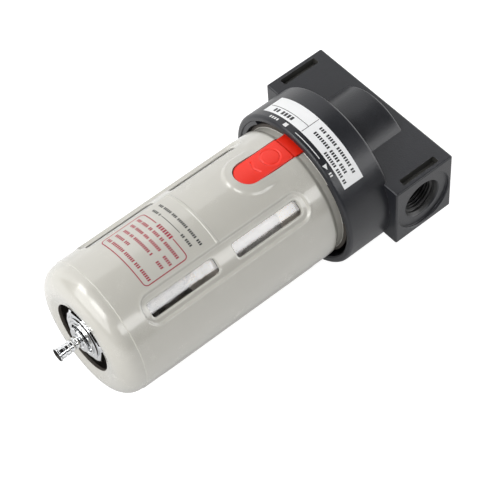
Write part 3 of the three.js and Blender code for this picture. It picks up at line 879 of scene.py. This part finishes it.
def build_drain_nut():
    """A hexagon nut whose face steps down in two rings towards its hole."""
    low, high = heights("drain_nut")
    half, hole, face, ring, turn = 11, 6.5, -145, -145.8, 14
    corner = 2 * half / math.sqrt(3)

    def hexagon(radii, angle, z):
        flat = ((angle - turn) % 60) - 30
        limit = half / np.cos(np.radians(flat))
        return np.where(radii > 10.3, np.minimum(radii, limit), radii)

    turned("drain_nut", "bowl_unit", rounded([
        (hole, high, 0.3), (corner - 0.6, high, 0.4), (corner, high - 0.6, 0.3),
        (corner, face + 0.8, 0.3), (corner - 1.3, face, 0.2), (10.1, face, 0.1),
        (9.9, face + 0.4, 0.05), (9.55, face + 0.4, 0.05), (9.5, ring, 0.1), (8.2, ring, 0.1),
        (8, ring + 0.5, 0.05), (7.65, ring + 0.5, 0.05), (7.6, low, 0.1), (hole + 0.3, low, 0.1),
        (hole, low + 0.4, 0.1),
    ], 4), CHROME, columns=240, shape=hexagon)


def build_drain_collar():
    low, high = heights("drain_collar")
    hole, outer, sunk = 2.8, 5.7, low + 0.35
    turned("drain_collar", "stem", rounded([
        (hole, high), (outer - 0.4, high, 0.2), (outer, high - 0.3, 0.15), (outer, low + 0.3, 0.15),
        (outer - 0.3, low, 0.1), (3.6, low, 0.15), (3.3, sunk, 0.1), (hole, sunk),
    ]), CHROME)


def build_drain_stem():
    """The hollow stem with its sealing head, three grooves and flared tip."""
    low, high = heights("drain_stem")
    head, shank, groove, bore = 5.5, 2.6, 2.2, 1.7
    head_bottom, bore_top, ease = -133.2, -137, 0.08
    grooves = []
    for i in range(3):
        top = -149.8 - 2.4 * i
        grooves += [(shank, top + 0.2, ease), (groove, top - 0.05, ease),
                    (groove, top - 0.45, ease), (shank, top - 0.7, ease)]
    stem = turned("drain_stem", "stem", rounded([
        (0, high), (head, high, 0.4), (head, head_bottom, 0.3), (shank, head_bottom),
        (shank, -148.2), *grooves, (2.5, low + 1.0, 0.2), (3.0, low + 0.5, 0.15), (3.0, low, ease),
        (2.75, low, ease), (2.1, low + 0.9, 0.2), (bore, low + 3), (bore, bore_top), (0, bore_top),
    ], 3, closed=False), CHROME)
    stem.data.materials.append(DARK_BORE)
    for face in stem.data.polygons:
        axis = Vector((face.center.x, face.center.y, 0))
        face.material_index = int(axis.length < shank * MM and axis.dot(face.normal) < 0)


build_drain_washer()
build_drain_nut()
build_drain_collar()
build_drain_stem()

# -------------------- springs


def swept(name, path, section, frames):
    """A steel bar on the bowl: a section of (out, up) offsets carried along a path."""
    points = np.array([
        [point + out * a + up * b for a, b in section] for point, (out, up) in zip(path, frames)
    ]).reshape(-1, 3)
    return make(name, place(*points.T), bar_faces(len(section), len(path)), STEEL, smooth=40)


def build_drain_spring():
    """Five turns of round wire, closed up at both ends, drawn at rest; the real spring shortens as
    the stem is pushed in.
    """
    wire, turns, travel, clear = 0.4, 5, 2.0, 0.1
    low, high = heights("drain_spring")
    radius = box_mm("drain_spring")[1].x - wire
    share = np.linspace(0, 1, turns * 36 + 1)
    angle = 2 * math.pi * turns * share
    rise = share - 0.08 * np.sin(2 * math.pi * share) * np.cos(math.pi * share) ** 2
    z = low + wire + (high - low - 2 * wire) * rise
    out = np.stack([np.cos(angle), np.sin(angle), 0 * angle], axis=1)
    path = radius * out + np.stack([0 * z, 0 * z, z], axis=1)
    up = np.array([0, 0, 1.0])
    section = ellipse((0, 0), (wire, wire), 0, 330, 11)
    spring = swept("drain_spring_wire", path, section, [(o, up) for o in out])
    settle(spring, "bowl_unit", "drain_spring")
    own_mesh(spring)


def build_lock_spring():
    """A bowed leaf behind the button, drawn at rest; the real leaf flattens against the bowl as the
    button is pressed.
    """
    low, high = heights("lock_spring")
    corner = box_mm("lock_spring")
    half, crown, foot = corner[1].x, -corner[0].y, -corner[1].y
    thickness, ease, flattened = 0.25, 0.1, 0.12
    share = np.linspace(0, 1, 49)
    bow = foot + (crown - thickness - foot) * np.sin(math.pi * share) ** 2
    z = low + (high - low) * share
    path = np.stack([0 * z, -bow, z], axis=1)
    across, outwards = np.array([1.0, 0, 0]), np.array([0, -1.0, 0])
    section = rounded([
        (half, 0, ease), (half, thickness, ease), (-half, thickness, ease), (-half, 0, ease),
    ], 3)
    leaf = swept("lock_spring_leaf", path, section, [(across, outwards)] * len(z))
    settle(leaf, "bowl_unit", "lock_spring")
    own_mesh(leaf)


build_drain_spring()
build_lock_spring()

# -------------------- element stack


def build_element():
    low, high = heights("filter_element")
    inner, outer = 11, 17.5
    turned("filter_element", "head", rounded([
        (inner, high, 0.3), (outer, high, 0.6), (outer, low, 0.6), (inner, low, 0.3),
    ]), POROUS, columns=144)


build_element()

for name, material in (
    ("deflector", PALE_PLASTIC),
    ("element_top_gasket", RUBBER),
    ("element_bottom_gasket", RUBBER),
    ("baffle", PALE_PLASTIC),
    ("centre_stud", STEEL),
    ("baffle_nut", BRASS),
    ("drain_body", CHROME),
    ("drain_gasket", RUBBER),
    ("drain_seal", RUBBER),
):
    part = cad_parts[name]
    part.data.materials.clear()
    part.data.materials.append(material)

# -------------------- prints


def guard_surface(z):
    """Radius of the guard's plain outer face."""
    return GUARD_UPPER + (GUARD_LOWER - GUARD_UPPER) * (SHOULDER - z) / (SHOULDER - STEP_Z)


def ribbons(name, surface_at, strokes, material, proud=0.03, sunk=0.12):
    """Thin curved tiles on a round face. A stroke is a path of (arc length, height) points
    and its width, or a width for each point."""
    points, faces = [], []
    for path, width in strokes:
        path = np.array(path, float)
        length = np.concatenate([[0], np.cumsum(np.hypot(*np.diff(path, axis=0).T))])
        even = np.linspace(0, length[-1], max(2, int(length[-1] / 0.8)))
        stops = np.unique(np.concatenate([length, even]))
        line = np.stack([np.interp(stops, length, path[:, k]) for k in (0, 1)], axis=1)
        half = np.interp(stops, length, np.broadcast_to(width, length.shape)) / 2
        along = np.gradient(line, axis=0)
        along /= np.linalg.norm(along, axis=1, keepdims=True)
        side = np.stack([-along[:, 1], along[:, 0]], axis=1) * half[:, None]
        base, count = len(points), len(stops)
        for k in range(count):
            for way, lift in ((1, proud), (-1, proud), (-1, -sunk), (1, -sunk)):
                x, z = line[k] + way * side[k]
                radius = surface_at(z)
                points.append(around(radius + lift, np.degrees(x / radius), z))
        for k in range(count - 1):
            here, there = base + 4 * k, base + 4 * (k + 1)
            for i, k in ((0, 1), (1, 2), (2, 3), (3, 0)):
                faces.append((here + i, here + k, there + k, there + i))
        last = base + 4 * (count - 1)
        faces += [(base + 3, base + 2, base + 1, base), (last, last + 1, last + 2, last + 3)]
    return make(name, np.array(points), faces, material)


def arc_mm(angle, radius):
    """Arc length in millimetres from the front to an angle in degrees."""
    return math.radians(angle) * radius


def line(radius, left, right, z, width):
    """A stroke round the face at one height, between two angles."""
    return [(arc_mm(left, radius), z), (arc_mm(right, radius), z)], width


def blocks(radius, left, right, z, height, words=(4, 2, 5, 3, 6), width=0.62, gap=0.34):
    """A row of small blocks in groups, standing in for a line of print."""
    x, end, strokes, word = arc_mm(left, radius), arc_mm(right, radius), [], 0
    top, bottom = z + height / 2, z - height / 2
    while x + width < end:
        for _ in range(words[word % len(words)]):
            if x + width < end:
                middle = x + width / 2
                strokes.append(([(middle, top), (middle, bottom)], width))
            x += width + gap
        x += 2 * gap
        word += 1
    return strokes


def ink(name, body, slot, surface_at, strokes, material, **look):
    settle(ribbons(name, surface_at, strokes, material, **look), body)


def build_ring_label():
    """The white film on the collar with its two cells' lines and rows of blocks."""
    film_r, rule = COLLAR_R + 0.12, 0.26
    left, right, top, bottom, divider, shelf = -36.0, 50.6, -22.4, -32.3, 3.5, -28.2
    whole = line(COLLAR_R, left, right, (top + bottom) / 2, top - bottom)
    film = ribbons("ring_label_film", lambda z: COLLAR_R, [whole], STICKER, proud=0.12, sunk=0.05)
    settle(film, "head", "ring_label")
    x = arc_mm(divider, film_r)
    strokes = [
        ([(x, top - 0.3), (x, bottom + 0.3)], rule),
        line(film_r, left + 1, divider, shelf, rule),
        *blocks(film_r, -27, -5.5, -30.2, 2.0, (2, 4), 1.3, 0.6),
        *blocks(film_r, 9, 46.5, -25.1, 1.5, (3, 5, 8), 0.75, 0.4),
        *blocks(film_r, 9.3, 42.5, -28.3, 1.5, (8, 5), 0.75, 0.4),
        *blocks(film_r, 24, 47.5, -30.8, 1.4, (7, 4), 0.7, 0.36),
    ]
    ink("ring_label_print", "head", "black_rubber", lambda z: film_r, strokes, BLACK_INK,
        sunk=0.02)


def build_ring_marks():
    """White marks under the label: lock square, travel line and arrow."""
    z = -34.2
    square, arrow = arc_mm(-8, COLLAR_R), arc_mm(32, COLLAR_R)
    strokes = [
        ([(square, z + 1.0), (square, z - 0.9)], 2.0),
        line(COLLAR_R, 1.5, 25.2, z, 0.35),
        ([(arrow - 1.2, z), (arrow + 1.1, z)], (2.1, 0.1)),
        *blocks(COLLAR_R, -24, -13.5, z, 1.2, (4,), 0.9, 0.6),
        *blocks(COLLAR_R, 36.2, 39.5, z, 1.3, (2,), 0.6, 0.5),
    ]
    ink("ring_marks", "head", "sticker", lambda z: COLLAR_R, strokes, WHITE_INK,
        proud=0.02, sunk=0.3)


def frame_path(radius, left, right, top, bottom, corner, gap):
    """The outline of a rounded frame, open at the middle of its top edge."""
    x0, x1 = arc_mm(left, radius), arc_mm(right, radius)
    middle = (x0 + x1) / 2
    return rounded([
        (middle + gap / 2, top), (x1, top, corner), (x1, bottom, corner), (x0, bottom, corner),
        (x0, top, corner), (middle - gap / 2, top),
    ], 6, closed=False)


def build_guard_prints():
    """Rows of blocks and a framed panel below the button, in place of the printed text."""
    radius = guard_surface(-108)
    black = [
        *blocks(radius, -25.3, 28, -93.5, 1.25, (3, 5, 3, 6, 5)),
        *blocks(radius, -24.3, -14.5, -97.1, 1.2),
        line(radius, -12.8, 9, -97.1, 0.25),
        *blocks(radius, 11, 25.3, -97.1, 1.2, (2, 4, 2)),
    ]
    ink("guard_print_black", "bowl_unit", "black_rubber", guard_surface, black, BLACK_INK)
    red = [
        (frame_path(radius, -28.3, 28.2, -100.9, -121.8, 1.8, 10.5), 0.42),
        *blocks(radius, -7.3, 9.5, -101.1, 1.9, (7,), 0.85, 0.42),
        *blocks(radius, -25.2, 26, -104.4, 1.45, (3, 4, 2, 4, 2, 9)),
        *blocks(radius, -24.2, 12.7, -108.0, 1.4, (3, 5, 3, 7)),
        *blocks(radius, 17, 25.8, -108.4, 1.4, (8,)),
        *blocks(radius, -23.5, 12.1, -111.7, 1.4, (4, 2, 10)),
        *blocks(radius, 17.2, 25.4, -111.9, 1.4, (7,)),
        *blocks(radius, -24.6, -5.6, -115.3, 1.4, (6, 3)),
        *blocks(radius, -26, 25.8, -118.9, 1.45, (3, 8, 6, 3, 8)),
    ]
    ink("guard_print_red", "bowl_unit", "red_plastic", guard_surface, red, RED_INK)


build_ring_label()
build_ring_marks()
build_guard_prints()

# -------------------- stage, lights, camera


AMBIENT = 0.12
# Name, direction, distance, size, brightness, and the rays that don't see the lamp.
LAMPS = (
    ("low", (-0.08, -0.6, -0.79), 0.8, (1.0, 0.75), 2.6, None),
    ("side", (0.78, -0.525, 0.34), 0.8, (0.18, 1.0), 0.7, None),
    ("key", (-0.707, -0.707, 0.1), 0.75, (1.1, 1.1), 0.63, "glossy"),
    ("front", (0.09, -0.99, 0.1), 0.8, (0.5, 0.9), 1.1, "glossy"),
    ("key_mirror", (-0.90, -0.44, 0.12), 0.75, (1.1, 1.1), 1.1, "diffuse"),
    ("strip_mirror", (0.765, -0.545, 0.36), 0.8, (0.25, 1.0), 3.3, "diffuse"),
    ("top_mirror", (0.1, -0.35, 0.93), 0.6, (0.9, 0.5), 3.0, "diffuse"),
    ("dome_mirror", (0.105, -0.813, -0.573), 0.8, (0.42, 0.3), 3.2, "diffuse"),
    ("edge_mirror", (-0.48, -0.76, -0.41), 0.8, (0.25, 0.3), 5.0, "diffuse"),
)


def build_camera():
    """The photo's viewing angle."""
    azimuth, elevation, roll = (math.radians(a) for a in (31.17, -20.29, 54.73))
    target = Vector((5.6, 3.4, -67.7 + PORT_AXIS)) * MM
    distance = 716.6 * MM
    back = Vector((
        math.sin(azimuth) * math.cos(elevation),
        -math.cos(azimuth) * math.cos(elevation),
        math.sin(elevation),
    ))
    lens = bpy.data.cameras.new("camera")
    lens.sensor_width, lens.lens = 36, 129.36
    lens.clip_start, lens.clip_end = 0.01, 20
    camera = bpy.data.objects.new("camera", lens)
    look = back.to_track_quat("Z", "Y").to_matrix() @ Matrix.Rotation(roll, 3, "Z")
    camera.matrix_world = Matrix.Translation(target + back * distance) @ look.to_4x4()
    bpy.context.scene.collection.objects.link(camera)
    bpy.context.scene.camera = camera


def softbox(name, direction, distance, size, brightness, target, hidden=None):
    """A rectangular lamp of a given brightness, facing the target from a direction."""
    lamp = bpy.data.lights.new(name, "AREA")
    lamp.shape, lamp.size, lamp.size_y = "RECTANGLE", *size
    lamp.energy = brightness * math.pi * size[0] * size[1]
    light = bpy.data.objects.new(name, lamp)
    bpy.context.scene.collection.objects.link(light)
    way = Vector(direction).normalized()
    light.location = target + way * distance
    light.rotation_mode = "QUATERNION"
    light.rotation_quaternion = way.to_track_quat("Z", "Y")
    if hidden:
        setattr(light, "visible_" + hidden, False)


def stage_material():
    """Pale glowing ground, shaded close to the piece, that is only there on its lit side, so
    that no view is blocked."""
    material, tree, shader, position = start_material("stage_pale")
    shader.inputs["Base Color"].default_value = (0.4, 0.4, 0.4, 1)
    shader.inputs["Roughness"].default_value = 0.9
    shader.inputs["Emission Color"].default_value = (1, 1, 1, 1)
    seen = node(tree, "LightPath").outputs["Is Camera Ray"]
    across = node(tree, "SeparateXYZ", {0: position}).outputs["X"]
    away = maths(tree, "ABSOLUTE", across)[0]
    # Painted shadow on the ground: its glow for all but camera rays is weakest near the piece and
    # rises from 25 to 60 mm out along X.
    lit = map_range(tree, away, 0.25, 0.62, 25, 60)
    tree.links.new(map_range(tree, seen, lit, 0.93), shader.inputs["Emission Strength"])
    show_clear(tree, shader, node(tree, "NewGeometry").outputs["Backfacing"])
    return material


def studio_world():
    """White where the camera looks past the stage, dim where it lights the piece."""
    world = bpy.data.worlds.new("studio")
    world.use_nodes = True
    tree = world.node_tree
    background = tree.nodes["Background"]
    background.inputs["Color"].default_value = (1, 1, 1, 1)
    ray = node(tree, "LightPath").outputs
    dim = map_range(tree, ray["Is Glossy Ray"], AMBIENT, AMBIENT / 6)
    strength = map_range(tree, ray["Is Camera Ray"], dim, 1.0)
    tree.links.new(strength, background.inputs["Strength"])
    bpy.context.scene.world = world


def build_ground():
    reach, y = 3.0, cad_high.y + 0.5 * MM
    corners = [(-reach, y, -reach), (reach, y, -reach), (reach, y, reach), (-reach, y, reach)]
    mesh = bpy.data.meshes.new("ground")
    mesh.from_pydata(corners, [], [(0, 1, 2, 3)])
    mesh.materials.append(stage_material())
    ground = bpy.data.objects.new("ground", mesh)
    bpy.context.scene.collection.objects.link(ground)


def build_lamps():
    """The lamps round the piece, and a weak one inside the bowl behind each window."""
    middle = (cad_low + cad_high) / 2
    for name, direction, distance, size, brightness, hidden in LAMPS:
        softbox(name, direction, distance, size, brightness, middle, hidden)
    for centre in PANELS:
        turn = math.radians(centre)
        outwards = (math.sin(turn), -math.cos(turn), 0)
        for (top, bottom), brightness in zip(WINDOWS, (0.1, 0.24)):
            inside = Vector((0, 0, ((top + bottom) / 2 + PORT_AXIS) * MM))
            size = (10 * MM, (top - bottom) * MM)
            softbox("window_fill", outwards, 25.4 * MM, size, brightness, inside)


build_camera()
build_ground()
studio_world()
build_lamps()
bpy.context.scene.view_settings.view_transform = "Standard"
